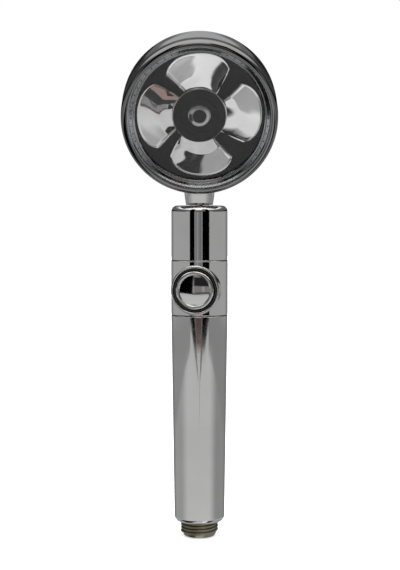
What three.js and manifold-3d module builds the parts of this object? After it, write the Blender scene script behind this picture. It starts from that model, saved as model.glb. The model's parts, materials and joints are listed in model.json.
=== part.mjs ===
// Handheld shower head: a drum head with a propeller behind a clear window, a swivelling neck,
// a valve band with a push-through stop button, a tapered grip and a threaded hose inlet.
// Millimetres, +Z up along the handle, origin at the centre of the inlet's end face.
// The head sprays towards -Y.

import * as THREE from "three";
import { mergeVertices } from "three/addons/utils/BufferGeometryUtils.js";
import Module from "manifold-3d";

const wasm = await Module();
wasm.setup();

// ---------- driving dimensions ----------

const FINE = 32;            // sides of the large turned pieces
const MEDIUM = 20;          // sides of the handle's inner pieces
const COARSE = 12;          // sides of small rings and pins
const GAP = 0.3;            // running clearance between neighbours

const THREAD_CREST = 10.34; // G 1/2 external thread, crest radius
const THREAD_ROOT = 9.3;
const THREAD_PITCH = 1.814;
const INLET_BORE = 7.0;

const GRIP_BOTTOM = 8.2;    // heights along the handle
const GRIP_TOP = 123.2;
const BAND_BOTTOM = 123.5;
const BAND_TOP = 153.2;
const COLLAR_BOTTOM = 153.5;
const COLLAR_TOP = 183;
const NECK_TOP = 188.4;
const STEM_TOP = 190.8;

const GRIP_FOOT_RADIUS = 13.85;
const GRIP_HEAD_RADIUS = 15.45;
const GRIP_BORE = 12.1;
const GRIP_MOUTH = 10.75;   // hole in the grip's foot that the tail passes through
const TAIL_FLANGE = 11.7;   // flange that the foot holds
const SPIGOT_BORE = 12.7;   // the grip's socket for the valve body
const BAND_RADIUS = 15.5;
const COLLAR_RADIUS = 15.35;
const NECK_RADIUS = 7.15;

const BUTTON_HEIGHT = 137.6;
const BUTTON_YAW = THREE.MathUtils.degToRad(9);   // the button sits a little left of the spray
const BUTTON_FACE = 16.3;   // button distances from the handle's axis
const BUTTON_FLOOR = 10.4;
const BUTTON_TRAVEL = 4.3;
const BOSS_RADIUS = 13.1;
const POCKET_RADIUS = 11.95;
const CAP_RADIUS = 10.4;
const SPOOL_BORE = 5.1;
const SPOOL_RADIUS = 4.7;

const HEAD_TILT = THREE.MathUtils.degToRad(17.5); // the spray face looks down by this much
const HEAD_CENTRE = new THREE.Vector3(0, -11, 232.3);
const DRUM_RADIUS = 42;
const DRUM_BACK = -18.6;      // head distances along the propeller's axis
const DRUM_SEAM = 8;
const DRUM_BORE = 40.2;
const SKIRT_RADIUS = 39.6;  // the jet plate's skirt
const SKIRT_BORE = 38.2;
const RIM_FACE = 14;
const WINDOW_BACK = 6.4;
const WINDOW_RADIUS = 34.9;
const BLADE_COUNT = 4;
const BLADE_TIP = 33.9;
const BLADE_HALF_ANGLE = THREE.MathUtils.degToRad(37.5);
const HUB_RADIUS = 12.6;
const SHAFT_RADIUS = 2;
const SCREW_CIRCLE = 20;

// ---------- materials ----------

function finish(color, roughness, metalness) {
  return () => new THREE.MeshStandardMaterial({ color, roughness, metalness });
}

const chrome = finish(0xb4b3b0, 0.12, 1);
const darkChrome = finish(0x5d5b5e, 0.2, 1);
const threadMetal = finish(0x605c48, 0.45, 0.8);
const blackRubber = finish(0x161616, 0.7, 0);
const blackPlastic = finish(0x2a2729, 0.4, 0);
const whitePlastic = finish(0xd9d8d2, 0.5, 0);
const steel = finish(0xa5a4a2, 0.25, 1);
const clearPlastic = finish(0xe6ecec, 0.05, 0);
const cotton = finish(0xeceae4, 0.95, 0);

// ---------- shape helpers ----------

// A turned piece about +Z. The outline is [radius, height] pairs that start and end on the axis.
function turned(outline, sides) {
  const points = outline.map(([radius, height]) => new THREE.Vector2(radius, height));
  return new THREE.LatheGeometry(points, sides).rotateX(Math.PI / 2);
}

// A turned ring: the outline goes round the section anticlockwise and is closed here.
function turnedRing(outline, sides) {
  return turned([...outline, outline[0]], sides);
}

// A plain turned tube or, with no bore, a plain round bar.
function tube(outer, bore, low, high, sides) {
  if (bore === 0) return turned([[0, low], [outer, low], [outer, high], [0, high]], sides);
  return turnedRing([[bore, low], [outer, low], [outer, high], [bore, high]], sides);
}

function oRing(radius, section, height) {
  const outline = [];
  const corners = 4;
  for (let i = 0; i < corners; i += 1) {
    const angle = (i / corners) * 2 * Math.PI;
    outline.push([radius + section * Math.cos(angle), height + section * Math.sin(angle)]);
  }
  return turnedRing(outline, MEDIUM);
}

// Points of a circular arc in the outline plane, angles in degrees.
function arc(centreRadius, centreHeight, radius, from, to, steps) {
  const points = [];
  for (let i = 0; i <= steps; i += 1) {
    const angle = THREE.MathUtils.degToRad(from + ((to - from) * i) / steps);
    points.push([centreRadius + radius * Math.cos(angle), centreHeight + radius * Math.sin(angle)]);
  }
  return points;
}

function solidOf(geometry) {
  const bare = geometry.clone();
  bare.deleteAttribute("normal");
  bare.deleteAttribute("uv");
  const merged = mergeVertices(bare, 1e-4);
  return new wasm.Manifold(new wasm.Mesh({
    numProp: 3,
    vertProperties: new Float32Array(merged.attributes.position.array),
    triVerts: new Uint32Array(merged.index.array),
  }));
}

function geometryOf(solid) {
  const { vertProperties, triVerts } = solid.getMesh();
  const geometry = new THREE.BufferGeometry();
  geometry.setAttribute("position", new THREE.BufferAttribute(vertProperties, 3));
  geometry.setIndex(new THREE.BufferAttribute(triVerts, 1));
  geometry.computeVertexNormals();
  return geometry;
}

function carve(body, additions, cuts) {
  let solid = solidOf(body);
  for (const addition of additions) solid = solid.add(solidOf(addition));
  for (const cut of cuts) solid = solid.subtract(solidOf(cut));
  return geometryOf(solid);
}

function addMesh(group, name, geometry, material) {
  const mesh = new THREE.Mesh(geometry, material());
  mesh.name = name;
  group.add(mesh);
  return mesh;
}

// ---------- local frames ----------

// The button's frame: +Z points out of the button's face.
const buttonFrame = new THREE.Group();
buttonFrame.position.z = BUTTON_HEIGHT;
buttonFrame.rotation.set(Math.PI / 2, 0, -BUTTON_YAW, "ZYX");
buttonFrame.updateMatrix();

// The drum's frame: +Z points out of the spray face, +Y up across it.
const drumFrame = new THREE.Group();
drumFrame.position.copy(HEAD_CENTRE);
drumFrame.rotation.x = Math.PI / 2 + HEAD_TILT;
drumFrame.updateMatrix();

// ---------- handle ----------

function gripShell() {
  const corner = 2.8;
  const bottomWall = GRIP_BOTTOM + 2.8;
  return turnedRing([
    [GRIP_MOUTH, GRIP_BOTTOM],
    ...arc(GRIP_FOOT_RADIUS - corner, GRIP_BOTTOM + corner, corner, -90, 0, 4),
    [GRIP_HEAD_RADIUS, GRIP_TOP],
    [SPIGOT_BORE, GRIP_TOP],
    [SPIGOT_BORE, GRIP_TOP - 20],
    [GRIP_BORE, GRIP_TOP - 22],
    [GRIP_BORE, bottomWall + 3.7],
    [TAIL_FLANGE + 0.15, bottomWall + 3],
    [TAIL_FLANGE + 0.15, bottomWall],
    [GRIP_MOUTH, bottomWall],
  ], FINE);
}

// The hose thread: plain lead-in nose, ridged thread, flange held inside the grip, filter seat.
function tailConnector() {
  const outline = [[INLET_BORE, 0], [8.6, 0], [THREAD_ROOT, 1.6]];
  for (let z = 1.8; z + THREAD_PITCH < GRIP_BOTTOM + 0.2; z += THREAD_PITCH) {
    outline.push([THREAD_CREST, z + 0.3 * THREAD_PITCH]);
    outline.push([THREAD_CREST, z + 0.55 * THREAD_PITCH]);
    outline.push([THREAD_ROOT, z + 0.9 * THREAD_PITCH]);
  }
  outline.push([10.4, GRIP_BOTTOM], [10.4, 11.3], [TAIL_FLANGE, 11.3], [TAIL_FLANGE, 14.5]);
  outline.push([9.2, 14.5], [9.2, 20.4], [INLET_BORE, 20.4]);
  return turnedRing(outline, MEDIUM);
}

// A disc with a ring of water holes, resting in the inlet bore.
function inletStrainer() {
  const disc = new THREE.Shape();
  disc.absarc(0, 0, INLET_BORE - GAP, 0, 2 * Math.PI);
  const holes = 6;
  for (let i = 0; i <= holes; i += 1) {
    const angle = (i / holes) * 2 * Math.PI;
    const reach = i === holes ? 0 : 4.3;
    const hole = new THREE.Path();
    hole.absarc(reach * Math.cos(angle), reach * Math.sin(angle), 1.2, 0, 2 * Math.PI);
    disc.holes.push(hole);
  }
  const settings = { depth: 1.2, bevelEnabled: false, curveSegments: 5 };
  return new THREE.ExtrudeGeometry(disc, settings).translate(0, 0, 9);
}

function addFilter(handle) {
  addMesh(handle, "filter_lower_cap", tube(10.8, 4, 20.8, 24.2, MEDIUM), blackRubber);
  addMesh(handle, "filter_cartridge", tube(10.6, 4.5, 24.5, 94, MEDIUM), cotton);
  addMesh(handle, "filter_upper_cap", tube(10.8, 4, 94.3, 97.6, MEDIUM), whitePlastic);
}

// A cylinder along the button's axis, between two signed distances from the handle's axis.
function buttonBar(radius, from, to, sides = MEDIUM) {
  return tube(radius, 0, from, to, sides).applyMatrix4(buttonFrame.matrix);
}

// The band carries the spool's cross bore, a face boss on both sides, and two offset ports that
// lead the water up from the grip and on to the neck.
function valveBody() {
  const band = turned([
    [0, 102], [11.6, 102], [11.6, 112.6], [10.6, 112.6], [10.6, 114.6], [12.3, 114.6],
    [12.3, BAND_BOTTOM], [BAND_RADIUS, BAND_BOTTOM], [BAND_RADIUS, BAND_TOP],
    [11.7, BAND_TOP], [11.7, 155.6], [10.7, 155.6], [10.7, 157.2], [11.7, 157.2],
    [11.7, 160], [0, 160],
  ], FINE);
  const bosses = [
    buttonBar(BOSS_RADIUS, 8, BUTTON_FACE, FINE),
    buttonBar(BOSS_RADIUS, -BUTTON_FACE, -8, FINE),
  ];
  const portOffset = 2.4;
  const portAt = (distance, low, high) => {
    const centre = new THREE.Vector3(0, 0, distance).applyMatrix4(buttonFrame.matrix);
    return tube(1.9, 0, low, high, COARSE).translate(centre.x, centre.y, 0);
  };
  const cuts = [
    buttonBar(SPOOL_BORE, -BUTTON_FLOOR - 1, BUTTON_FLOOR + 1),
    buttonBar(POCKET_RADIUS, BUTTON_FLOOR, BUTTON_FACE + 2, FINE),
    buttonBar(POCKET_RADIUS, -BUTTON_FACE - 2, -BUTTON_FLOOR, FINE),
    tube(7, 0, 101, 122, COARSE),
    tube(7, 0, BAND_TOP, 161, COARSE),
    portAt(portOffset, 121, BUTTON_HEIGHT),
    portAt(-portOffset, BUTTON_HEIGHT, BAND_TOP + 1),
  ];
  return carve(band, bosses, cuts);
}

// Sleeve with a rounded shoulder that takes the valve body's spigot below and the swivel stem above.
function collar() {
  const corner = 3.2;
  return turnedRing([
    [12.1, COLLAR_BOTTOM],
    [COLLAR_RADIUS, COLLAR_BOTTOM],
    ...arc(COLLAR_RADIUS - corner, COLLAR_TOP - corner, corner, 0, 90, 5),
    [7.5, COLLAR_TOP],
    [7.5, 178.2],
    [9, 178.2],
    [9, 161.4],
    [12.1, 161.4],
  ], FINE);
}

function addHandle(handle) {
  addMesh(handle, "tail_connector", tailConnector(), threadMetal);
  addMesh(handle, "inlet_strainer", inletStrainer(), whitePlastic);
  addMesh(handle, "grip_shell", gripShell(), chrome);
  addFilter(handle);
  addMesh(handle, "grip_o_ring", oRing(11.6, 0.7, 113.6), blackRubber);
  addMesh(handle, "valve_body", valveBody(), chrome);
  addMesh(handle, "valve_o_ring", oRing(11.4, 0.4, 156.4), blackRubber);
  addMesh(handle, "collar", collar(), chrome);
}

// ---------- stop button ----------

// A round cap: a raised rim round a low dome. The rim's face is at the given height.
function buttonCap(face) {
  const thickness = 2.2;
  return turned([
    [0, face - thickness],
    [CAP_RADIUS, face - thickness],
    [CAP_RADIUS, face - 0.6],
    [CAP_RADIUS - 0.6, face],
    [CAP_RADIUS - 1.4, face],
    [CAP_RADIUS - 2, face - 0.4],
    [CAP_RADIUS * 0.5, face + 0.15],
    [0, face + 0.35],
  ], FINE);
}

// The spool has a waist over both ports and a groove for each O-ring.
function valveSpool(grooves) {
  const waistRadius = 2.4;
  const grooveRadius = 3.4;
  const halfGroove = 0.9;
  const grooveOutline = (centre) => [
    [SPOOL_RADIUS, centre - halfGroove],
    [grooveRadius, centre - halfGroove],
    [grooveRadius, centre + halfGroove],
    [SPOOL_RADIUS, centre + halfGroove],
  ];
  return turned([
    [0, -10.3],
    [SPOOL_RADIUS, -10.3],
    ...grooveOutline(grooves[0]),
    [SPOOL_RADIUS, -3.5],
    [waistRadius, -2.9],
    [waistRadius, 2.7],
    [SPOOL_RADIUS, 3.3],
    ...grooveOutline(grooves[1]),
    ...grooveOutline(grooves[2]),
    [SPOOL_RADIUS, 14.5],
    [0, 14.5],
  ], COARSE);
}

function addStopButton() {
  const ringLow = BUTTON_FLOOR + GAP;
  const ringOuter = POCKET_RADIUS - GAP;
  const ringInner = CAP_RADIUS + 0.35;
  const ring = () => tube(ringOuter, ringInner, ringLow, BUTTON_FACE, FINE);
  addMesh(buttonFrame, "button_ring", ring(), blackRubber);
  addMesh(buttonFrame, "rear_button_ring", ring(), blackRubber).rotation.x = Math.PI;

  const frontFace = BUTTON_FACE + 0.8;
  addMesh(buttonFrame, "button_cap", buttonCap(frontFace), chrome);
  const rearCap = addMesh(buttonFrame, "rear_button_cap", buttonCap(frontFace - BUTTON_TRAVEL), chrome);
  rearCap.rotation.x = Math.PI;

  const grooves = [-4.7, 4.4, 8.9];
  addMesh(buttonFrame, "valve_spool", valveSpool(grooves), whitePlastic);
  const names = ["spool_o_ring_rear", "spool_o_ring_shutoff", "spool_o_ring_front"];
  names.forEach((name, i) => {
    addMesh(buttonFrame, name, oRing(4.25, 0.5, grooves[i]), blackRubber);
  });
}

// ---------- swivel ----------

// Turns in the collar's bore; its flange holds it there and its spigot screws into the drum.
function swivelStem() {
  const spigot = 5.2;
  const bearing = 8.5;
  const groove = (low) => {
    const floor = 7.2;
    return [[bearing, low], [floor, low], [floor, low + 1.8], [bearing, low + 1.8]];
  };
  return turnedRing([
    [3.4, 162.2], [bearing, 162.2],
    ...groove(164.4),
    ...groove(168.4),
    [bearing, 176.6], [NECK_RADIUS, 176.6],
    [NECK_RADIUS, COLLAR_TOP + 0.1], [spigot, COLLAR_TOP + 0.1],
    [spigot, 184.9], [4.4, 184.9], [4.4, 186.5], [spigot, 186.5],
    [spigot, STEM_TOP], [3.4, STEM_TOP],
  ], MEDIUM);
}

function addSwivel(head) {
  addMesh(head, "swivel_stem", swivelStem(), chrome);
  addMesh(head, "stem_o_ring_lower", oRing(8, 0.5, 165.3), blackRubber);
  addMesh(head, "stem_o_ring_upper", oRing(8, 0.5, 169.3), blackRubber);
  addMesh(head, "stem_seal_ring", oRing(5, 0.3, 185.7), blackRubber);
  addMesh(head, "slide_washer", tube(8.7, NECK_RADIUS + GAP, 176.9, 177.9, MEDIUM), whitePlastic);
}

// ---------- drum ----------

// Cup-shaped shell, open at the front, with the hollow neck that the swivel stem screws into.
// Inside are the shaft's socket and a pillar for each jet plate screw.
function rearHousing() {
  const outside = turned([
    [0, DRUM_BACK],
    [20, DRUM_BACK + 0.3],
    [35, DRUM_BACK + 1.6],
    ...arc(DRUM_RADIUS - 6, DRUM_BACK + 8, 6, -80, 0, 6),
    [41.7, DRUM_SEAM],
    [0, DRUM_SEAM],
  ], FINE);
  const inside = turned([
    [0, DRUM_BACK + 2.4],
    ...arc(DRUM_RADIUS - 7, DRUM_BACK + 8, 5, -80, -10, 4),
    [DRUM_BORE, -8],
    [DRUM_BORE, DRUM_SEAM + 1],
    [0, DRUM_SEAM + 1],
  ], FINE);
  const drumInverse = drumFrame.matrix.clone().invert();
  const neckBottom = COLLAR_TOP + 0.4;
  const neck = turned([
    [0, neckBottom], [7.4, neckBottom], [8.1, NECK_TOP], [8.5, 192], [8.5, 196],
    [7, 199], [0, 199],
  ], MEDIUM).applyMatrix4(drumInverse);
  const beyondSeam = tube(60, 0, DRUM_SEAM, 60, COARSE);
  const stemBore = tube(5.5, 0, neckBottom - 1, 200, MEDIUM).applyMatrix4(drumInverse);
  const cup = carve(outside, [neck], [inside, beyondSeam, stemBore]);

  const floor = DRUM_BACK + 1;
  const pillars = [tube(5, 0, floor, -8.5, COARSE)];
  const holes = [tube(SHAFT_RADIUS + GAP, 0, -13, -7, COARSE)];
  for (const angle of screwAngles()) {
    pillars.push(tube(3.4, 0, floor, -6.7, COARSE).translate(...screwPlace(angle)));
    holes.push(tube(1.5, 0, -10, -5, 12).translate(...screwPlace(angle)));
  }
  return carve(cup, pillars, holes);
}

function frontBezel() {
  const low = DRUM_SEAM + GAP;
  return turnedRing([
    [DRUM_BORE, low], [41.6, low],
    ...arc(38.7, RIM_FACE - 2.9, 2.9, 0, 90, 5),
    [38.1, RIM_FACE - 0.5], [38.1, 12.5], [DRUM_BORE, 12.5],
  ], FINE);
}

// Dished ring that carries the spray nozzles and clamps the window.
function sprayRing() {
  return turnedRing([
    [39.9, 9.3], [39.9, 12.2], [37.8, 12.2], [35.9, 10], [34.6, 9.4], [34.4, 8.8], [36, 8.8],
    [36, 6], [37.2, 6], [37.6, 9.3],
  ], FINE);
}

// Disc behind the propeller with slanted slots that set the water spinning. Its skirt walls in
// the propeller, so the water has to go round behind the disc first.
function jetPlate() {
  const low = -6.4;
  const high = -3.6;
  const disc = turnedRing([
    [SHAFT_RADIUS + GAP, low], [SKIRT_RADIUS, low], [SKIRT_RADIUS, 7.1], [SKIRT_BORE, 7.1],
    [SKIRT_BORE, high],
    [SHAFT_RADIUS + GAP, high],
  ], FINE);
  const hub = tube(4.6, SHAFT_RADIUS + GAP, -8.2, low + 0.1, COARSE);
  const slotCount = 12;
  const cuts = [];
  for (let i = 0; i < slotCount; i += 1) {
    const slot = new THREE.BoxGeometry(7, 1.6, 8).rotateX(Math.PI / 4.5);
    slot.translate(31, 0, (low + high) / 2).rotateZ(((i + 0.5) / slotCount) * 2 * Math.PI);
    cuts.push(slot);
  }
  for (const angle of screwAngles()) {
    cuts.push(tube(1.5, 0, low - 1, high + 1, 12).translate(...screwPlace(angle)));
  }
  return carve(disc, [hub], cuts);
}

function screwAngles() {
  return [0, 1, 2].map((i) => Math.PI / 2 + (i / 3) * 2 * Math.PI);
}

function screwPlace(angle) {
  return [SCREW_CIRCLE * Math.cos(angle), SCREW_CIRCLE * Math.sin(angle), 0];
}

// Low pan-head screw through the jet plate.
function jetScrew() {
  return turned([[0, -9.6], [1.2, -9.6], [1.2, -3.3], [2.6, -3.3], [2.4, -2.9], [0, -2.8]], 12);
}

function addDrum(head) {
  addMesh(head, "rear_housing", rearHousing().applyMatrix4(drumFrame.matrix), chrome);
  addMesh(drumFrame, "front_bezel", frontBezel(), chrome);
  addMesh(drumFrame, "spray_ring", sprayRing(), darkChrome);
  addMesh(drumFrame, "spray_gasket", tube(39.8, SKIRT_BORE, 7.4, 9, FINE), blackRubber);
  addMesh(drumFrame, "window", tube(WINDOW_RADIUS, 0, WINDOW_BACK, 8.4, FINE), clearPlastic);
  addMesh(drumFrame, "window_gasket", tube(35.7, 35.2, WINDOW_BACK, 8.4, FINE), blackRubber);
  addMesh(drumFrame, "jet_plate", jetPlate(), blackPlastic);
  screwAngles().forEach((angle, i) => {
    const screw = addMesh(drumFrame, `jet_plate_screw_${i + 1}`, jetScrew(), steel);
    screw.position.set(...screwPlace(angle));
  });
  addMesh(drumFrame, "propeller_shaft", tube(SHAFT_RADIUS, 0, -12.6, 4.7, COARSE), steel);
  addMesh(drumFrame, "hub_nut", hubNut(), steel);
}

// Cap nut on the shaft's end, in the middle of the hub cap.
function hubNut() {
  return turned([[0, 5], [5.6, 5], [5.6, 5.7], [5, 6], [0, 6.1]], COARSE);
}

// ---------- propeller ----------

// One blade as a closed skin: u runs from the clockwise edge to the other, v outwards. It is nearly
// flat on the leading side and bends back towards the clockwise edge.
function blade() {
  const across = 7;
  const outward = 4;
  const thickness = 1;
  const root = HUB_RADIUS - 1.5;
  const positions = [];
  for (const side of [-0.5, 0.5]) {
    for (let i = 0; i <= across; i += 1) {
      for (let j = 0; j <= outward; j += 1) {
        const u = (2 * i) / across - 1;
        const v = j / outward;
        const reach = BLADE_TIP * (1 - 0.17 * Math.abs(u) ** 3.5);
        const radius = root + (reach - root) * v;
        const angle = u * BLADE_HALF_ANGLE - 0.14 * (1 - v);
        const fall = (1 - u) / 2;
        const rise = 3.6 - 1.6 * fall - 5.2 * fall ** 3;
        const height = 1.2 + rise * Math.min(1, 0.3 + 1.6 * v) + side * thickness;
        positions.push(radius * Math.cos(angle), radius * Math.sin(angle), height);
      }
    }
  }
  const row = outward + 1;
  const layer = (across + 1) * row;
  const indices = [];
  const quad = (a, b, c, d) => indices.push(a, b, c, a, c, d);
  for (let i = 0; i < across; i += 1) {
    for (let j = 0; j < outward; j += 1) {
      const k = i * row + j;
      quad(k, k + row, k + row + 1, k + 1);
      quad(layer + k, layer + k + 1, layer + k + row + 1, layer + k + row);
    }
  }
  for (let i = 0; i < across; i += 1) {
    const inner = i * row;
    const outer = inner + outward;
    quad(inner, inner + layer, inner + layer + row, inner + row);
    quad(outer, outer + row, outer + row + layer, outer + layer);
  }
  for (let j = 0; j < outward; j += 1) {
    const last = across * row + j;
    quad(j, j + 1, j + 1 + layer, j + layer);
    quad(last, last + layer, last + layer + 1, last + 1);
  }
  const geometry = new THREE.BufferGeometry();
  geometry.setAttribute("position", new THREE.Float32BufferAttribute(positions, 3));
  geometry.setIndex(indices);
  return geometry;
}

function propeller() {
  const hub = turnedRing([
    [4, -2.2], [11.6, -2.2], [HUB_RADIUS, -1.2], [HUB_RADIUS, 2.6], [14.6, 3.2], [14.6, 3.9],
    [4, 3.9],
  ], MEDIUM);
  const blades = [];
  for (let i = 0; i < BLADE_COUNT; i += 1) {
    blades.push(blade().rotateZ(((i + 0.02) / BLADE_COUNT) * 2 * Math.PI));
  }
  const shaftClearance = tube(4, 0, -4, 8, MEDIUM);
  return carve(hub, blades, [shaftClearance]);
}

function addPropeller() {
  const bushBore = SHAFT_RADIUS + GAP;
  const hubCap = turnedRing([
    [6, 4.2], [14, 4.2], [14, 5.4], [13.4, 5.9], [10, 5.9], [9.6, 5.6], [6.5, 5.6], [6, 5.1],
  ], MEDIUM);
  addMesh(drumFrame, "propeller", propeller(), chrome);
  addMesh(drumFrame, "hub_cap", hubCap, blackPlastic);
  addMesh(drumFrame, "rear_bush", tube(3.7, bushBore, -2.4, 0.4, COARSE), whitePlastic);
  addMesh(drumFrame, "front_bush", tube(3.7, bushBore, 0.9, 3.7, COARSE), whitePlastic);
}

// ---------- assembly ----------

const showerHead = new THREE.Group();
addHandle(showerHead);
addStopButton();
addSwivel(showerHead);
addDrum(showerHead);
addPropeller();
showerHead.add(buttonFrame, drumFrame);

export default showerHead;
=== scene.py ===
"""Looks of the handheld shower head: smooth turned shells, a helical hose thread, a twisted
propeller, a fine nozzle ring and a clear window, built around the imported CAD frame.
Outlines are in millimetres and become metres in make_mesh()."""

import json
import math

import bpy
from mathutils import Matrix, Vector


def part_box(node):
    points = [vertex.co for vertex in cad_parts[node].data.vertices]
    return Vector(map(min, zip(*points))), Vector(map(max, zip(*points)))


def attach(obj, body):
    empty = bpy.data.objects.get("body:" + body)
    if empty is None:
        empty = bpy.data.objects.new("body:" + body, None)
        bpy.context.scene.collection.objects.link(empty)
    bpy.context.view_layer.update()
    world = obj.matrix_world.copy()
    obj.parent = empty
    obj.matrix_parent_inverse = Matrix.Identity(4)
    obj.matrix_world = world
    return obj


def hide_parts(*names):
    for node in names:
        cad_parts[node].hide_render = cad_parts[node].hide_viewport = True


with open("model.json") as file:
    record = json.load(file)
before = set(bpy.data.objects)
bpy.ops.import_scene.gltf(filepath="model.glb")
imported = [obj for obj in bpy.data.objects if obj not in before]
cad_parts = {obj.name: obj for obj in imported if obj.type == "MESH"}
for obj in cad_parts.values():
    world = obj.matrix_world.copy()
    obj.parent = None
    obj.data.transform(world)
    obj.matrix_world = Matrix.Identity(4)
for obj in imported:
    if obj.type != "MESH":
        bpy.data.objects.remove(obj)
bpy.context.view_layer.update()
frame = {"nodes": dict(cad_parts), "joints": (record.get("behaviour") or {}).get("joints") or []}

MM = 0.001
SIDES = 192                 # sides of a turned shell
FILLET_STEPS = 6
ON_AXIS = 1e-6              # a radius below this is on the axis
SHORTEST = 1e-5             # shorter stretches of an outline are left out

# ---------- driving sizes, in millimetres ----------

GRIP_FOOT_RADIUS = 13.85
GRIP_HEAD_RADIUS = 15.45
GRIP_FOOT_FILLET = 2.8
GRIP_FOOT_WALL = 2.8        # thickness of the foot's floor
GRIP_MOUTH = 10.75          # radius of the opening that the tail comes out of
GRIP_BORE = 12.1
GRIP_SOCKET = 12.7          # wider bore at the top, for the valve's spigot

THREAD_CREST = 10.34
THREAD_ROOT = 9.25
THREAD_PITCH = 1.814
THREAD_START = 1.5          # height of the thread's first point
TAIL_BORE = 7.0
TAIL_NECK = 10.4
TAIL_FLANGE = 11.7

COLLAR_FILLET = 3.2
COLLAR_MOUTH = 7.5          # radius of the opening that the neck comes out of
# outer radius of the black rings that paint the shade of the handle's seams
SEAM_RADIUS = 15.12
SEAM_GAP = 0.3              # between the valve band and its neighbours

BAND_RADIUS = 15.5
BAND_EDGE = 0.25
BAND_END_INSET = 5.5        # how far in the band's end faces start
BOSS_RADIUS = 13.1          # round boss on each side of the band
BOSS_FACE = 16.3            # its distance from the handle's axis
POCKET_RADIUS = 11.95       # pocket in the boss for the button
POCKET_FLOOR = 10.4
SPOOL_BORE = 5.1
SPIGOT_BORE = 7
LOWER_SPIGOT_FOOT = 102
LOWER_GROOVE = (112.6, 114.6)
UPPER_GROOVE = (155.6, 157.2)
UPPER_SPIGOT_TOP = 160

CAP_RADIUS = 10.4
RING_BORE = 10.75
RING_RADIUS = 11.65
RING_FACE = 15.9
FRONT_CAP_SEAT = 14.9
REAR_CAP_SEAT = 10.6

DRUM_RADIUS = 42
DRUM_MOUTH = 41.5           # outer radius at the drum's front edge
DRUM_BORE = 40.2
DISC_RADIUS = 25.4          # disc set off by a groove on the drum's back
RIM_BORE = 38.2
NECK_BORE = 5.5
NECK_TOP = 195
WINDOW_RADIUS = 34.9
WINDOW_BACK = 6.4
WINDOW_FACE = 8.4
CHAMBER_RADIUS = 39.6
CHAMBER_BORE = 2.3

NOZZLES = 54
NOZZLE_CIRCLE = 36.4
NOZZLE_SEAT = 10.2
NOZZLE_RADIUS = 0.42
NOZZLE_HOLE = 0.18

BLADES = 4
BLADE_PHASE = 0.02          # turn of the first blade, as a share of the blades' spacing
BLADE_HALF_ANGLE = math.radians(37.5)
BLADE_TIP = 33.9
BLADE_ROOT = 11.5
BLADE_BASE = 1.2            # height of the blades above the propeller joint's origin
BLADE_RISE = 3.6            # how far the blade's higher edge stands above that
TIP_ROUNDING = 0.17         # share of the radius that the blade's corners lose
ROOT_SWEEP = 0.14           # radians that the root lags behind the tip
RIPPLE = 0.06               # faint waviness that breaks up the reflections
BLADE_EDGE = 0.15           # half thickness at the blade's edge
BLADE_SWELL = 0.32          # added to it away from the edge
BEAD_HEIGHT = 0.3           # bead that runs along the edge
BEAD_INSET = 0.7
BEAD_WIDTH = 0.5
HUB_RADIUS = 14.6
HUB_BORE = 4
HUB_CAP_RADIUS = 14.1

# ---------- places, read from the frame ----------


def low_high(node):
    """A node's lowest and highest corner in millimetres."""
    low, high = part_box(node)
    return low / MM, high / MM


def joint(name):
    return next(j for j in frame["joints"] if j["name"] == name)


def frame_along(axis, origin):
    """A frame whose +Z is the axis and whose +Y is as close to the row's +Z as it can be."""
    z = Vector(axis).normalized()
    x = Vector((0, 0, 1)).cross(z).normalized()
    y = z.cross(x)
    basis = Matrix((x, y, z)).transposed().to_4x4()
    return Matrix.Translation(Vector(origin)) @ basis


GRIP_LOW, GRIP_HIGH = low_high("grip_shell")
COLLAR_LOW, COLLAR_HIGH = low_high("collar")
BAND_BOTTOM = GRIP_HIGH.z + SEAM_GAP
BAND_TOP = COLLAR_LOW.z - SEAM_GAP
HANDLE = Matrix.Identity(4)
HANDLE_RADIUS = COLLAR_HIGH.x

SPIN = joint("propeller_spin")
DRUM = frame_along(SPIN["axis"], Vector(SPIN["pos_m"]) / MM)
SLIDE = joint("stop_button_slide")
CAP_LOW, CAP_HIGH = low_high("button_cap")
BUTTON = frame_along(-Vector(SLIDE["axis"]), (0, 0, (CAP_LOW.z + CAP_HIGH.z) / 2))

# ---------- mesh tools ----------


def make_mesh(name, verts, faces, matrix=HANDLE, flat_angle=None):
    """A mesh object from millimetre points in a local frame."""
    mesh = bpy.data.meshes.new(name)
    placed = [(matrix @ Vector(v)) * MM for v in verts]
    mesh.from_pydata(placed, [], faces)
    mesh.shade_smooth()
    if flat_angle is not None:
        mesh.set_sharp_from_angle(angle=math.radians(flat_angle))
    piece = bpy.data.objects.new(name, mesh)
    bpy.context.scene.collection.objects.link(piece)
    return piece


def fillet_arc(before, here, after, radius):
    """Points of the arc that rounds one corner, each with its outward normal."""
    back, ahead = (before - here).normalized(), (after - here).normalized()
    half = back.angle(ahead) / 2
    centre = here + (back + ahead).normalized() * (radius / math.sin(half))
    start = here + back * (radius / math.tan(half)) - centre
    end = here + ahead * (radius / math.tan(half)) - centre
    first = math.atan2(start.y, start.x)
    turn = math.remainder(math.atan2(end.y, end.x) - first, 2 * math.pi)
    outward = 1 if turn > 0 else -1
    arc = []
    for k in range(FILLET_STEPS + 1):
        angle = first + turn * k / FILLET_STEPS
        ray = Vector((math.cos(angle), math.sin(angle)))
        arc.append((centre + ray * radius, ray * outward))
    return arc


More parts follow.
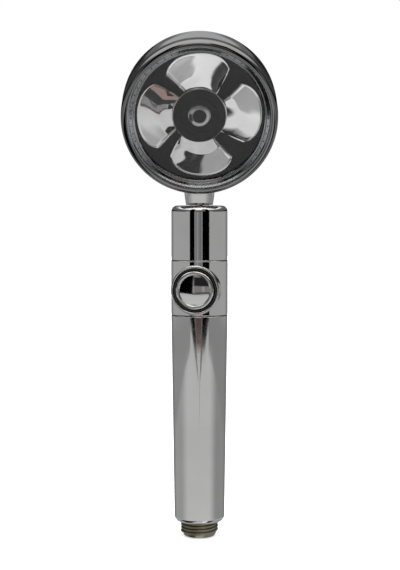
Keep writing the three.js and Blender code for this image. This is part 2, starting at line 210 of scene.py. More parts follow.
def outline_stretches(corners, closed):
    """Splits an anticlockwise outline into (point, point, normal, normal) stretches. A corner is
    (radius, height) or, where it is rounded, (radius, height, fillet)."""
    count = len(corners)
    arcs = []
    for i, corner in enumerate(corners):
        here = Vector(corner[:2])
        fillet = corner[2] if len(corner) > 2 else 0
        if fillet and (closed or 0 < i < count - 1):
            before, after = Vector(corners[i - 1][:2]), Vector(corners[(i + 1) % count][:2])
            arcs.append(fillet_arc(before, here, after, fillet))
        else:
            arcs.append([(here, None)])
    stretches = []
    for i, arc in enumerate(arcs):
        for (a, na), (b, nb) in zip(arc, arc[1:]):
            stretches.append((a, b, na, nb))
        if i + 1 < count or closed:
            a, b = arc[-1][0], arcs[(i + 1) % count][0][0]
            side = Vector((b.y - a.y, a.x - b.x))
            if side.length > SHORTEST:
                side.normalize()
                stretches.append((a, b, side, side))
    return stretches


def lathe(name, corners, matrix=HANDLE, sides=SIDES):
    """A turned piece about the frame's +Z with exact normals, so that plating reflects cleanly.
    An outline that stays off the axis is closed into a ring."""
    closed = min(corner[0] for corner in corners) > ON_AXIS
    stretches = outline_stretches(corners, closed)
    rings = [s[0] for s in stretches]
    if not closed:
        rings.append(stretches[-1][1])
    verts, starts = [], []
    for point in rings:
        starts.append((len(verts), point.x > ON_AXIS))
        around = sides if point.x > ON_AXIS else 1
        for k in range(around):
            angle = 2 * math.pi * k / around
            verts.append((point.x * math.cos(angle), point.x * math.sin(angle), point.y))
    faces, loop_normals = [], []
    turn = matrix.to_3x3()

    def direction(normal, k):
        angle = 2 * math.pi * k / sides
        return turn @ Vector((normal.x * math.cos(angle), normal.x * math.sin(angle), normal.y))

    for i, (_, _, n0, n1) in enumerate(stretches):
        (a, wide_a), (b, wide_b) = starts[i], starts[(i + 1) % len(starts)]
        for k in range(sides):
            m = (k + 1) % sides
            if wide_a and wide_b:
                faces.append((a + k, a + m, b + m, b + k))
                loop_normals += [direction(n0, k), direction(n0, m),
                                 direction(n1, m), direction(n1, k)]
            elif wide_a:
                faces.append((a + k, a + m, b))
                loop_normals += [direction(n0, k), direction(n0, m), direction(n1, k)]
            elif wide_b:
                faces.append((a, b + m, b + k))
                loop_normals += [direction(n0, k), direction(n1, m), direction(n1, k)]
    piece = make_mesh(name, verts, faces, matrix)
    piece.data.normals_split_custom_set(loop_normals)
    return piece


def finish_piece(piece, body, look, *nodes):
    """Gives a piece its body, material and slot, and hides the CAD nodes it stands for."""
    piece.data.materials.clear()
    piece.data.materials.append(look)
    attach(piece, body)
    if nodes:
        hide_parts(*nodes)


def cut(piece, cutter):
    """Takes the cutter out of the piece and removes it."""
    modifier = piece.modifiers.new("cut", "BOOLEAN")
    modifier.object = cutter
    modifier.operation = "DIFFERENCE"
    modifier.solver = "EXACT"
    depsgraph = bpy.context.evaluated_depsgraph_get()
    result = bpy.data.meshes.new_from_object(piece.evaluated_get(depsgraph))
    piece.modifiers.clear()
    piece.data = result
    bpy.data.objects.remove(cutter)


# ---------- materials ----------


class Nodes:
    """Short calls for building one node tree."""

    def __init__(self, tree):
        self.tree = tree
        self.tree.nodes.clear()

    def add(self, kind, settings=None, **inputs):
        node = self.tree.nodes.new(kind)
        for key, value in (settings or {}).items():
            setattr(node, key, value)
        for key, value in inputs.items():
            self.feed(node, key.replace("_", " "), value)
        return node

    def feed(self, node, key, value):
        socket = node.inputs[int(key)] if key.isdigit() else node.inputs[key]
        if isinstance(value, bpy.types.NodeSocket):
            self.tree.links.new(value, socket)
        else:
            socket.default_value = value

    def maths(self, operation, a, b=0.0):
        node = self.add("ShaderNodeMath", {"operation": operation})
        self.feed(node, "0", a)
        self.feed(node, "1", b)
        return node.outputs[0]

    def ramp(self, value, stops):
        """Colours by value: stops are (place, colour)."""
        node = self.add("ShaderNodeValToRGB")
        elements = node.color_ramp.elements
        while len(elements) < len(stops):
            elements.new(0.5)
        for element, (place, colour) in zip(elements, stops):
            element.position = place
            element.color = colour
        self.feed(node, "Fac", value)
        return node.outputs["Color"]

    def noise(self, where, scale, detail=4.0, roughness=0.55):
        node = self.add("ShaderNodeTexNoise", Scale=scale, Detail=detail, Roughness=roughness)
        self.feed(node, "Vector", where)
        return node.outputs["Fac"]

    def mapped(self, value, low, high):
        """Stretches a 0.3 to 0.7 noise over low to high."""
        return self.stretched(value, 0.3, 0.7, low, high, smooth=False)

    def stretched(self, value, from_low, from_high, to_low, to_high, smooth=True):
        """Maps value from one range to another, held at the ends."""
        kind = "SMOOTHSTEP" if smooth else "LINEAR"
        node = self.add("ShaderNodeMapRange", {"interpolation_type": kind})
        for key, number in (("From Min", from_low), ("From Max", from_high), ("To Min", to_low),
                            ("To Max", to_high)):
            self.feed(node, key, number)
        self.feed(node, "Value", value)
        return node.outputs["Result"]

    def band(self, value, low, high, soft):
        """1 where value is between low and high, with soft ends."""
        rise = self.stretched(value, low - soft, low + soft, 0, 1)
        fall = self.stretched(value, high - soft, high + soft, 1, 0)
        return self.maths("MULTIPLY", rise, fall)

    def blend(self, amount, below, above):
        """Mixes two colours: all below at 0 and all above at 1."""
        mix = self.add("ShaderNodeMix", {"data_type": "RGBA"})
        for socket, value in (("0", amount), ("6", below), ("7", above)):
            self.feed(mix, socket, value)
        return mix.outputs[2]


BUMP_DEPTH = 0.0002         # metres


def grey(level, warmth=0.0):
    """A grey, warmer where warmth is above 0."""
    return (level * (1 + warmth), level, level * (1 - warmth), 1)


def material(name, slot, colours, roughness, metallic=0.0, bump=0.0, bump_scale=400.0, grain=60.0,
             extra=None):
    """A Principled surface: two tones by noise, uneven roughness, and fine bump."""
    made = bpy.data.materials.new(name)
    made.use_nodes = True
    made["slot"] = slot
    nodes = Nodes(made.node_tree)
    place = nodes.add("ShaderNodeTexCoord").outputs["Object"]
    output = nodes.add("ShaderNodeOutputMaterial")
    surface = nodes.add("ShaderNodeBsdfPrincipled", Metallic=metallic)
    cloud = nodes.noise(place, grain)
    nodes.feed(surface, "Base Color", nodes.ramp(cloud, [(0.35, colours[0]), (0.65, colours[1])]))
    streaks = nodes.noise(place, grain * 4.5, 6.0, 0.65)
    nodes.feed(surface, "Roughness", nodes.mapped(streaks, *roughness))
    if bump:
        height = nodes.noise(place, bump_scale, 3.0)
        relief = nodes.add("ShaderNodeBump", Strength=bump, Distance=BUMP_DEPTH, Height=height)
        nodes.feed(surface, "Normal", relief.outputs["Normal"])
    for key, value in (extra or {}).items():
        nodes.feed(surface, key, value)
    nodes.feed(output, "Surface", surface.outputs["BSDF"])
    return made


CHROME = material("plated_shell", "chrome_shell", (grey(0.64, 0.006), grey(0.7, 0.003)),
                  (0.03, 0.075), 1.0, 0.02, 60.0, 25.0)
SPRAY_CHROME = material("nozzle_plating", "spray_chrome", (grey(0.42, -0.02), grey(0.5, -0.02)),
                        (0.12, 0.22), 1.0, 0.04, 200.0)
# A darkened copy of the chrome for the front rim: painted shade that darkens its reflections.
SHADED_RIM_CHROME = material("shaded_rim_plating", "chrome_shell", (grey(0.18, 0.01), grey(0.23)), (0.04, 0.12),
                      1.0, 0.03, 80.0, 30.0)
BLADE_CHROME = material("blade_plating", "propeller_chrome", (grey(0.8), grey(0.9)), (0.02, 0.08),
                        1.0, 0.08, 120.0, 35.0)
THREAD_METAL = material("tarnished_brass", "thread_metal",
                        ((0.17, 0.155, 0.1, 1), (0.42, 0.4, 0.3, 1)), (0.22, 0.45), 1.0, 0.25)
STEEL = material("screw_steel", "screw_steel", (grey(0.38), grey(0.5)), (0.1, 0.2), 1.0, 0.05)
RUBBER = material("black_rubber", "black_rubber", (grey(0.006), grey(0.012)), (0.45, 0.7), 0.0, 0.3)
DARK_PLASTIC = material("dark_plastic", "black_plastic",
                        ((0.007, 0.004, 0.005, 1), (0.016, 0.01, 0.011, 1)), (0.3, 0.5), 0.0, 0.06,
                        500.0, 120.0, {"Specular IOR Level": 0.15})
WHITE_PLASTIC = material("acetal", "white_plastic", (grey(0.66, 0.02), grey(0.72, 0.02)),
                         (0.35, 0.5), 0.0, 0.15)
COTTON = material("filter_fibre", "filter_cotton", (grey(0.7, 0.01), grey(0.8, 0.02)), (0.85, 1.0),
                  0.0, 1.0, 900.0)
CLEAR = material("clear_window", "clear_window", (grey(0.96), grey(0.98)), (0.0, 0.03), 0.0,
                 extra={"Transmission Weight": 1.0, "IOR": 1.49, "Specular IOR Level": 0.08})

# ---------- handle ----------


def grip_radius(z):
    """Outer radius of the grip's long taper."""
    start = GRIP_LOW.z + GRIP_FOOT_FILLET
    widening = GRIP_HEAD_RADIUS - GRIP_FOOT_RADIUS
    return GRIP_FOOT_RADIUS + widening * (z - start) / (GRIP_HIGH.z - start)


def make_grip():
    low, high = GRIP_LOW.z, GRIP_HIGH.z
    piece = lathe("grip_sleeve", [
        (GRIP_MOUTH, low, 0.15), (grip_radius(low), low, GRIP_FOOT_FILLET),
        (grip_radius(high), high, 0.5), (GRIP_SOCKET, high, 0.2), (GRIP_SOCKET, high - 20),
        (GRIP_BORE, high - 22), (GRIP_BORE, low + 6.5), (11.85, low + 5.8),
        (11.85, low + GRIP_FOOT_WALL), (GRIP_MOUTH, low + GRIP_FOOT_WALL),
    ])
    finish_piece(piece, "handle", CHROME, "grip_shell")


def make_tail():
    """Connector body with a helical G 1/2 thread swept round it."""
    low, high = low_high("tail_connector")
    top = GRIP_LOW.z
    body = lathe("tail_body", [
        (TAIL_BORE, low.z, 0.15), (8.6, low.z, 0.3), (THREAD_ROOT, 1.6, 0.3), (THREAD_ROOT, top),
        (TAIL_NECK, top), (TAIL_NECK, 11.3), (TAIL_FLANGE, 11.3), (TAIL_FLANGE, 14.5), (9.2, 14.5),
        (9.2, high.z), (TAIL_BORE, high.z),
    ])
    finish_piece(body, "handle", THREAD_METAL, "tail_connector")

    steps_per_turn = 96
    turns = (top + 0.6 - THREAD_START) / THREAD_PITCH
    steps = int(turns * steps_per_turn)
    depth = THREAD_CREST - THREAD_ROOT
    # The ridge's section: how far above the helix, and how much of the thread's depth.
    section = [(-0.78, -0.12), (-0.2, 1.0), (0.2, 1.0), (0.78, -0.12)]
    verts, faces = [], []
    for i in range(steps + 1):
        angle = 2 * math.pi * i / steps_per_turn
        fade = min(1, i / (0.35 * steps_per_turn))
        for rise, reach in section:
            radius = THREAD_ROOT + depth * (reach if reach < 0 else reach * fade)
            z = THREAD_START + THREAD_PITCH * i / steps_per_turn + rise
            verts.append((radius * math.cos(angle), radius * math.sin(angle), z))
    corners = len(section)
    for i in range(steps):
        for k in range(corners):
            a, b = corners * i + k, corners * i + (k + 1) % corners
            faces.append((a, a + corners, b + corners, b))
    faces.append(tuple(range(corners)))
    faces.append(tuple(corners * steps + k for k in reversed(range(corners))))
    thread = make_mesh("tail_thread", verts, faces, HANDLE, 40)
    finish_piece(thread, "handle", THREAD_METAL)


def make_seams():
    """Black rings set into the two seams of the handle: painted shade that stands in for the dark
    gaps of the seams.
    """
    bore = 14.2
    for name, gap_low, half in (("grip_seam_shade", GRIP_HIGH.z, 0.75), ("collar_seam_shade", BAND_TOP, 0.4)):
        z = gap_low + SEAM_GAP / 2
        ring = lathe(name, [(bore, z - half), (SEAM_RADIUS, z - half), (SEAM_RADIUS, z + half),
                            (bore, z + half)])
        finish_piece(ring, "handle", RUBBER)


def make_collar():
    low, high = COLLAR_LOW.z, COLLAR_HIGH.z
    piece = lathe("swivel_collar", [
        (12.1, low), (HANDLE_RADIUS, low, 0.25), (HANDLE_RADIUS, high, COLLAR_FILLET),
        (COLLAR_MOUTH + 0.05, high, 0.4), (COLLAR_MOUTH, high - 4.8), (9, high - 4.8),
        (9, low + 7.9), (12.1, low + 7.9),
    ])
    finish_piece(piece, "handle", CHROME, "collar")


def smooth_max(a, b, blend):
    """The larger of two numbers, with the change-over rounded off."""
    h = max(blend - abs(a - b), 0) / blend
    return max(a, b) + h * h * blend / 4


def smooth_min(a, b, blend):
    return -smooth_max(-a, -b, blend)


def band_surface(azimuth, height):
    """Radius of the valve band: a cylinder that swells into a round boss on both sides."""
    lateral = BOSS_RADIUS ** 2 - height ** 2
    if lateral <= 0:
        return BAND_RADIUS
    least = 1e-3            # keeps the divisions finite
    ahead, aside = max(abs(math.cos(azimuth)), least), max(abs(math.sin(azimuth)), least)
    face = BOSS_FACE / ahead
    wall = math.sqrt(lateral) / aside
    return smooth_max(BAND_RADIUS, smooth_min(face, wall, 0.5), 0.35)


def make_valve_band():
    """The band's skin follows band_surface; the button pockets are cut into it."""
    around, steps = 480, 146
    low, high = BAND_BOTTOM, BAND_TOP
    facing = math.atan2(BUTTON.col[2].y, BUTTON.col[2].x)
    centre = BUTTON.translation.z
    verts, faces = [], []
    skin = [low + BAND_EDGE + (high - low - 2 * BAND_EDGE) * j / steps
            for j in range(steps + 1)]
    heights = [low, low, *skin, high, high]
    shrink = [BAND_END_INSET, BAND_EDGE, *(0 for _ in skin), BAND_EDGE, BAND_END_INSET]
    for z, inward in zip(heights, shrink):
        for k in range(around):
            angle = 2 * math.pi * k / around
            radius = band_surface(angle - facing, z - centre) - inward
            verts.append((radius * math.cos(angle), radius * math.sin(angle), z))
    last = (len(heights) - 1) * around
    for below in range(0, last, around):
        above = below + around
        for k in range(around):
            m = (k + 1) % around
            faces.append((below + k, below + m, above + m, above + k))
    faces.append(tuple(reversed(range(around))))
    faces.append(tuple(range(last, last + around)))
    band = make_mesh("valve_band", verts, faces)
    for side in (1, -1):
        floor, mouth = POCKET_FLOOR * side, (BOSS_FACE + 2) * side
        corners = [(0, floor), (POCKET_RADIUS, floor), (POCKET_RADIUS, (BOSS_FACE - 0.35) * side),
                   (POCKET_RADIUS + 0.45, (BOSS_FACE + 0.1) * side), (POCKET_RADIUS + 0.6, mouth),
                   (0, mouth)]
        if side < 0:
            corners.reverse()
        cut(band, lathe("cutter", corners, BUTTON, 160))
    reach = 12
    cut(band, lathe("cutter", [(0, -reach), (SPOOL_BORE, -reach), (SPOOL_BORE, reach), (0, reach)],
                    BUTTON, 64))
    band.data.set_sharp_from_angle(angle=math.radians(35))
    finish_piece(band, "handle", CHROME, "valve_body")

    foot, (groove_low, groove_high) = LOWER_SPIGOT_FOOT, LOWER_GROOVE
    spigot = lathe("valve_spigot", [
        (SPIGOT_BORE, foot), (11.6, foot, 0.5), (11.6, groove_low), (10.6, groove_low),
        (10.6, groove_high), (12.3, groove_high), (12.3, low), (SPIGOT_BORE, low),
    ])
    finish_piece(spigot, "handle", CHROME)
    head, (groove_low, groove_high) = UPPER_SPIGOT_TOP, UPPER_GROOVE
    upper = lathe("valve_upper_spigot", [
        (SPIGOT_BORE, high), (11.7, high), (11.7, groove_low), (10.7, groove_low),
        (10.7, groove_high), (11.7, groove_high), (11.7, head, 0.4), (SPIGOT_BORE, head),
    ])
    finish_piece(upper, "handle", CHROME)


def make_button():
    """A round rubber ring and a dished cap on the front, and the same turned round on the back."""
    seat = 10.7
    ring = [(RING_BORE, seat), (RING_RADIUS, seat), (RING_RADIUS, RING_FACE, 0.3),
            (RING_BORE, RING_FACE, 0.3)]
    cap = [(0, 0), (CAP_RADIUS, 0), (CAP_RADIUS, 2.2, 0.9), (8.6, 2.2, 0.7), (8.3, 1.6, 0.1),
           (4.3, 2.2, 50), (0, 2.25)]
    back = Matrix.Rotation(math.pi, 4, "X")
    finish_piece(lathe("button_surround", ring, BUTTON), "handle", RUBBER, "button_ring")
    finish_piece(lathe("rear_button_surround", ring, BUTTON @ back), "handle", RUBBER,
                 "rear_button_ring")
    front = BUTTON @ Matrix.Translation((0, 0, FRONT_CAP_SEAT))
    rear = BUTTON @ back @ Matrix.Translation((0, 0, REAR_CAP_SEAT))
    finish_piece(lathe("stop_button_face", cap, front), "stop_button", CHROME, "button_cap")
    finish_piece(lathe("rear_button_face", cap, rear), "stop_button", CHROME, "rear_button_cap")


# ---------- head ----------


def make_housing():
    shell = lathe("drum_shell", [
        (0, -18.5), (DISC_RADIUS, -18.4, 0.3), (25.8, -17.9, 0.2), (26.6, -17.9, 0.2),
        (27, -18.35, 0.3), (DRUM_RADIUS, -16.4, 6), (DRUM_RADIUS, -3, 100), (DRUM_MOUTH, 8, 0.5),
        (DRUM_BORE, 8, 0.2), (DRUM_BORE, -8), (DRUM_BORE, -14.5, 5), (0, -16.2),
    ], DRUM)
    finish_piece(shell, "head", CHROME, "rear_housing")
    bottom = COLLAR_HIGH.z + 0.4
    neck = lathe("drum_neck", [
        (NECK_BORE, bottom), (7.4, bottom, 0.25), (8.1, bottom + 5, 20), (8.5, bottom + 8.6, 3),
        (8.5, NECK_TOP), (NECK_BORE, NECK_TOP),
    ])
    finish_piece(neck, "head", CHROME)


def make_bezel():
    piece = lathe("front_rim", [
        (DRUM_BORE, 8.3), (41.6, 8.3, 0.4), (DRUM_MOUTH, 14, 3.1), (RIM_BORE, 13.8, 0.1),
        (38.1, 12.3), (DRUM_BORE, 12.3),
    ], DRUM)
    # The rim takes the darkened chrome: painted shade over the whole rim.
    finish_piece(piece, "head", SHADED_RIM_CHROME, "front_bezel")
    # A black band filling the joint of the drum and the rim: painted shade for the seam there.
    seam = lathe("rim_seam_shade", [(41, 5.2), (41.76, 5.2, 0.2), (41.7, 8.15, 0.2), (41, 8.15)], DRUM)
    finish_piece(seam, "head", RUBBER)


def make_spray_ring():
    ring = lathe("nozzle_ring", [
        (39.9, 9.3), (39.9, 12.1), (37.7, 12.1, 0.3), (37.1, 11.1, 0.4), (35.7, 10.2, 0.2),
        (35.5, 9.6, 0.1), (35.1, 9.8, 0.2), (34.6, 9.5, 0.25), (34.4, 8.8), (36, 8.8), (36, 6),
        (37.2, 6), (37.6, 9.3),
    ], DRUM)
    finish_piece(ring, "head", SPRAY_CHROME, "spray_ring")


def make_nozzles():
    """A row of short rubber nozzles standing out of the spray ring, each with a blind hole."""
    sides = 10
    outline = ((NOZZLE_RADIUS, -0.3), (NOZZLE_RADIUS, 0.5), (0.3, 0.58), (NOZZLE_HOLE, 0.58),
               (NOZZLE_HOLE, 0.0))
    steps = len(outline) - 1
    verts, faces = [], []
    for i in range(NOZZLES):
        spin = Matrix.Rotation(2 * math.pi * i / NOZZLES, 4, "Z")
        place = spin @ Matrix.Translation((NOZZLE_CIRCLE, 0, NOZZLE_SEAT))
        start = len(verts)
        for radius, z in outline:
            for k in range(sides):
                angle = 2 * math.pi * k / sides
                point = Vector((radius * math.cos(angle), radius * math.sin(angle), z))
                verts.append(place @ point)
        for ring in range(steps):
            for k in range(sides):
                a, b = start + ring * sides + k, start + ring * sides + (k + 1) % sides
                faces.append((a, b, b + sides, a + sides))
        faces.append(tuple(start + k for k in reversed(range(sides))))
        faces.append(tuple(start + steps * sides + k for k in range(sides)))
    nozzles = make_mesh("spray_nozzles", verts, faces, DRUM, 40)
    finish_piece(nozzles, "head", RUBBER)


def make_window():
    pane = lathe("window_pane", [
        (0, WINDOW_BACK), (WINDOW_RADIUS, WINDOW_BACK, 0.2), (WINDOW_RADIUS, WINDOW_FACE, 0.3),
        (0, WINDOW_FACE),
    ], DRUM)
    finish_piece(pane, "head", CLEAR, "window")


def make_jet_plate():
    cup = lathe("chamber_wall", [
        (CHAMBER_BORE, -6.4), (CHAMBER_RADIUS, -6.4, 0.4), (CHAMBER_RADIUS, 7.1, 0.2),
        (38.2, 7.1, 0.2), (38.2, -3.6, 1.2), (CHAMBER_BORE, -3.6),
    ], DRUM)
    finish_piece(cup, "head", DARK_PLASTIC, "jet_plate")


def blade_point(u, v):
    """Middle of the blade's thickness: u runs from its clockwise edge to the other over -1 to 1,
    and v outwards over 0 to 1."""
    reach = BLADE_TIP * (1 - TIP_ROUNDING * abs(u) ** 3.5)
    radius = BLADE_ROOT + (reach - BLADE_ROOT) * v
    angle = u * BLADE_HALF_ANGLE - ROOT_SWEEP * (1 - v)
    fall = (1 - u) / 2
    rise = BLADE_RISE - 1.6 * fall - 5.2 * fall ** 3
    ripple = RIPPLE * math.sin(0.55 * radius + 3.5 * u) * math.sin(2.3 * u + 4 * v)
    height = BLADE_BASE + rise * min(1, 0.3 + 1.6 * v) + ripple
    return Vector((radius * math.cos(angle), radius * math.sin(angle), height))


def make_blade(index):
    """A thin twisted blade, thicker in the middle, with a bead along its edge."""
    across, outward = 80, 60
    half_width, length = 15, 22
    turn = Matrix.Rotation(2 * math.pi * (index + BLADE_PHASE) / BLADES, 4, "Z")
    verts, faces = [], []
    for side in (-1, 1):
        for i in range(across + 1):
            for j in range(outward + 1):
                u, v = 2 * i / across - 1, j / outward
                inset = min((1 - abs(u)) * half_width, (1 - v) * length)
                half = BLADE_EDGE + BLADE_SWELL * math.sqrt(min(1, inset))
                bead = BEAD_HEIGHT * math.exp(-((inset - BEAD_INSET) / BEAD_WIDTH) ** 2)
                verts.append(blade_point(u, v) + Vector((0, 0, side * (half + bead))))
    row = outward + 1
    layer = (across + 1) * row
    for i in range(across):
        for j in range(outward):
            k = i * row + j
            faces.append((k, k + 1, k + row + 1, k + row))
            faces.append((layer + k, layer + k + row, layer + k + row + 1, layer + k + 1))
    for i in range(across):
        inner, outer = i * row, i * row + outward
        faces.append((inner, inner + row, inner + row + layer, inner + layer))
        faces.append((outer, outer + layer, outer + row + layer, outer + row))
    for j in range(outward):
        last = across * row + j
        faces.append((j, j + layer, j + 1 + layer, j + 1))
        faces.append((last, last + 1, last + 1 + layer, last + layer))
    piece = make_mesh(f"blade_{index + 1}", verts, faces, DRUM @ turn, 60)
    finish_piece(piece, "propeller", BLADE_CHROME)


def make_propeller():
    hub = lathe("propeller_hub", [
        (HUB_BORE, -2.2), (11.6, -2.2, 0.5), (12.6, 2.8, 0.5), (HUB_RADIUS, 3.1, 0.3),
        (HUB_RADIUS, 3.9, 0.3), (HUB_BORE, 3.9),
    ], DRUM)
    finish_piece(hub, "propeller", BLADE_CHROME, "propeller")
    for index in range(BLADES):
        make_blade(index)
    cap = lathe("hub_cover", [
        (6, 4.2), (HUB_CAP_RADIUS, 4.2, 0.2), (HUB_CAP_RADIUS, 5.6, 0.5), (10.2, 5.9, 0.3),
        (9.6, 5.4, 0.2), (6.6, 5.4, 0.2), (6, 5.0),
    ], DRUM)
    finish_piece(cap, "propeller", DARK_PLASTIC, "hub_cap")
    nut = lathe("hub_cap_nut", [
        (0, 4.2), (5.7, 4.2), (5.7, 5.35, 0.5), (3.6, 5.85, 0.4), (3.3, 5.0, 0.2), (0, 5.0),
    ], DRUM)
    finish_piece(nut, "head", STEEL, "hub_nut")
    # A black disc filling the nut's recess: painted shade for the hollow of its socket.
    socket = lathe("nut_socket_shade", [(0, 4.4), (3.4, 4.4), (3.4, 5.3, 0.15), (0, 5.5)], DRUM)
    finish_piece(socket, "head", RUBBER)


# ---------- carried-over CAD nodes ----------

NODE_MATERIALS = {
    "inlet_strainer": WHITE_PLASTIC, "filter_lower_cap": RUBBER, "filter_cartridge": COTTON,
    "filter_upper_cap": WHITE_PLASTIC, "grip_o_ring": RUBBER, "valve_o_ring": RUBBER,
    "valve_spool": WHITE_PLASTIC, "spool_o_ring_rear": RUBBER, "spool_o_ring_shutoff": RUBBER,
    "spool_o_ring_front": RUBBER, "swivel_stem": CHROME, "stem_o_ring_lower": RUBBER,
    "stem_o_ring_upper": RUBBER, "stem_seal_ring": RUBBER, "slide_washer": WHITE_PLASTIC,
    "spray_gasket": RUBBER, "window_gasket": RUBBER, "jet_plate_screw_1": STEEL,
    "jet_plate_screw_2": STEEL, "jet_plate_screw_3": STEEL, "propeller_shaft": STEEL,
    "rear_bush": WHITE_PLASTIC, "front_bush": WHITE_PLASTIC,
}


def dress_cad_nodes():
    for name, made in NODE_MATERIALS.items():
        mesh = frame["nodes"][name].data
        mesh.materials.clear()
        mesh.materials.append(made)


# ---------- studio, in metres ----------

CAMERA_PLACE = Vector((0.0003, -0.680, 0.1895))
CAMERA_TARGET = Vector((0.0003, 0, 0.1394))
SENSOR_WIDTH = 36           # this and the focal length are in millimetres
FOCAL_LENGTH = 78.3
FLOOR_RADIUS = 2.5
FLOOR_PLACE = (0, 0.6, -0.0006)
LIGHT_PLACE = Vector((0, -0.5, 1.3))
LIGHT_TARGET = Vector((0, 0, 0.15))
LIGHT_SIZE = (0.9, 0.6)
LIGHT_POWER = 14            # watts


def look_along(direction):
    """Rotation of a camera or light that looks along the direction."""
    return direction.to_track_quat("-Z", "Y").to_euler()


def make_camera():
    camera = bpy.data.objects.new("camera", bpy.data.cameras.new("camera"))
    bpy.context.scene.collection.objects.link(camera)
    camera.location = CAMERA_PLACE
    camera.rotation_euler = look_along(CAMERA_TARGET - CAMERA_PLACE)
    camera.data.sensor_width = SENSOR_WIDTH
    camera.data.lens = FOCAL_LENGTH
    bpy.context.scene.camera = camera
    bpy.context.scene.view_settings.view_transform = "Standard"


def make_floor():
    """A pale floor that neither the plating nor the clear window sees."""
    bpy.ops.mesh.primitive_circle_add(vertices=96, radius=FLOOR_RADIUS, fill_type="NGON",
                                      location=FLOOR_PLACE)
    floor = bpy.context.object
    floor.name = "floor"
    floor.visible_glossy = False
    floor.visible_transmission = False
    floor.data.materials.append(material(
        "floor", "floor", (grey(0.88), grey(0.9)), (0.7, 0.9),
        extra={"Emission Color": (1, 1, 1, 1), "Emission Strength": 0.6}))


BROWN = (0.12, 0.08, 0.072, 1)
PALE_BROWN = (0.34, 0.245, 0.215, 1)

# Studio panels, seen only in reflections. Angles are in degrees; azimuth runs from the camera's
# side of the object towards +X. A panel is (shape, azimuth low, high, softness, elevation low,
# high, softness, level or colour); the pinched ones get narrower and the flared ones wider lower
# down. A later panel covers an earlier one.
PANELS = [
    # Broad grey walls on both sides, which shade the handle's edges.
    ("plain", 62, 180, 22, -17, -8, 1, 0.34),
    ("plain", -180, -70, 22, -17, -8, 1, 0.42),
    ("flared", 38, 180, 2, -11.3, 8, 0.6, 0.30),
    ("flared", -180, -38, 2, -11.3, 8, 0.6, 0.33),
    ("plain", 30, 180, 4, -6.5, 8, 0.8, 0.46),
    ("plain", -180, -30, 4, -6.5, 8, 0.8, 0.46),
    ("plain", 140, 180, 20, -17, 14, 4, 0.2),
    ("plain", -180, -140, 20, -17, 14, 4, 0.2),
    # Dark walls that blacken the drum's sides, and pale ones behind for its top.
    ("plain", 55, 180, 8, 1.5, 11, 1.5, 0.02),
    ("plain", -180, -55, 8, 1.5, 11, 1.5, 0.02),
    ("plain", 160, 180, 4, 1.5, 19, 1.5, 0.02),
    ("plain", -180, -160, 4, 1.5, 19, 1.5, 0.02),
    ("plain", 150, 180, 6, 26, 38, 2, 0.44),
    ("plain", -180, -150, 6, 26, 38, 2, 0.44),
    # Patches below the object, seen in the blades.
    ("plain", 42, 70, 3, -60, -22, 1, 0.03),
    ("plain", -98, -18, 2, -60, -22, 1, 0.01),
    ("plain", 14, 40, 2, -50, -22, 1, 0.95),
    ("plain", -40, 40, 4, -70, -46, 3, 0.9),
    ("plain", -180, 180, 1, -91, -76, 3, 0.04),
    # Two dark strips in front, which run down the collar and taper along the grip, and the grey
    # ends they fade into.
    ("pinched", -40, -20, 0.7, -8.8, 50, 0.4, 0.0),
    ("pinched", 12, 41, 0.7, -8.8, 50, 0.4, 0.0),
    ("pinched", -40, -26, 3, -10.2, -8.8, 0.3, 0.15),
    ("pinched", 11, 25, 3, -10.2, -8.8, 0.3, 0.12),
    ("pinched", -12, 8, 6, -12, -10.2, 0.5, 0.42),
    # Grey, brown and streaks between the strips.
    ("pinched", -19, 11, 0.8, -6.2, 30, 0.3, 0.25),
    ("pinched", -19, 11, 0.8, -8.8, -6.2, 0.3, BROWN),
    ("pinched", -9, -6, 0.8, -6.2, 10, 0.5, 0.4),
    ("pinched", 2, 4, 0.8, -6.2, 10, 0.5, 0.08),
    # A dark and a brown patch above them, for the blade on the left.
    ("plain", -19, 14, 1, 0.8, 12, 0.6, 0.02),
    ("plain", -19, 24, 2, 12, 26, 1.0, PALE_BROWN),
]
# The azimuth is divided by a factor that runs from one elevation to another:
# (elevation from, to, factor from, to).
PINCH = (-10.3, -7.2, 0.1, 1)
FLARE = (-10.9, -8.7, 2.8, 1)
# Azimuth that stands in for a panel's end at 180 or -180, so that it has no soft edge there.
NO_EDGE = 1000
# Levels of the plain surroundings by elevation.
SURROUND = [(-90, 0.45), (-60, 0.42), (-26, 0.4), (-20, 0.68), (-9, 0.62), (-5, 0.48), (6, 0.46),
            (10, 0.15), (29, 0.14), (34, 0.36), (43, 1.5), (90, 1.9)]


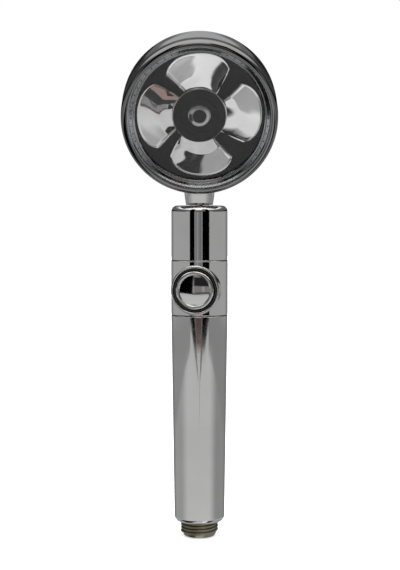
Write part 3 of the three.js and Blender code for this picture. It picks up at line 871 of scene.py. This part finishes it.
def make_world():
    """The studio: panels and surroundings for reflections, and plain white behind the object."""
    world = bpy.data.worlds.new("studio")
    bpy.context.scene.world = world
    world.use_nodes = True
    nodes = Nodes(world.node_tree)
    parts = nodes.add("ShaderNodeSeparateXYZ")
    nodes.feed(parts, "0", nodes.add("ShaderNodeTexCoord").outputs["Generated"])
    x, y, z = parts.outputs
    per_radian = math.degrees(1)
    away = nodes.maths("MULTIPLY", y, -1.0)
    azimuth = nodes.maths("MULTIPLY", nodes.maths("ARCTAN2", x, away), per_radian)
    elevation = nodes.maths("MULTIPLY", nodes.maths("ARCSINE", z), per_radian)
    pinch, flare = (nodes.stretched(elevation, *factor, smooth=False) for factor in (PINCH, FLARE))
    shapes = {
        "plain": azimuth,
        "pinched": nodes.maths("DIVIDE", azimuth, pinch),
        "flared": nodes.maths("DIVIDE", azimuth, flare),
    }
    height = nodes.stretched(elevation, -90, 90, 0, 1, smooth=False)
    level = nodes.ramp(height, [(0.5 + angle / 180, grey(value)) for angle, value in SURROUND])
    for shape, left, right, side_soft, low, high, end_soft, value in PANELS:
        inside = nodes.band(elevation, low, high, end_soft)
        if right - left < 360:
            left = left if left > -180 else -NO_EDGE
            right = right if right < 180 else NO_EDGE
            across = nodes.band(shapes[shape], left, right, side_soft)
            inside = nodes.maths("MULTIPLY", inside, across)
        level = nodes.blend(inside, level, value if isinstance(value, tuple) else grey(value))
    seen = nodes.add("ShaderNodeLightPath").outputs["Is Camera Ray"]
    glow = nodes.add("ShaderNodeBackground", Strength=1.0)
    nodes.feed(glow, "Color", nodes.blend(seen, level, grey(1.0)))
    output = nodes.add("ShaderNodeOutputWorld")
    nodes.feed(output, "Surface", glow.outputs[0])


def make_light():
    """One large soft light overhead, which the plating and the clear window don't see."""
    data = bpy.data.lights.new("overhead", "AREA")
    data.shape = "RECTANGLE"
    data.size, data.size_y = LIGHT_SIZE
    data.energy = LIGHT_POWER
    light = bpy.data.objects.new("overhead", data)
    light.visible_glossy = False
    light.visible_transmission = False
    light.location = LIGHT_PLACE
    light.rotation_euler = look_along(LIGHT_TARGET - LIGHT_PLACE)
    bpy.context.scene.collection.objects.link(light)


make_camera()
make_grip()
make_tail()
make_seams()
make_collar()
make_valve_band()
make_button()
make_housing()
make_bezel()
make_spray_ring()
make_nozzles()
make_window()
make_jet_plate()
make_propeller()
dress_cad_nodes()
make_floor()
make_world()
make_light()
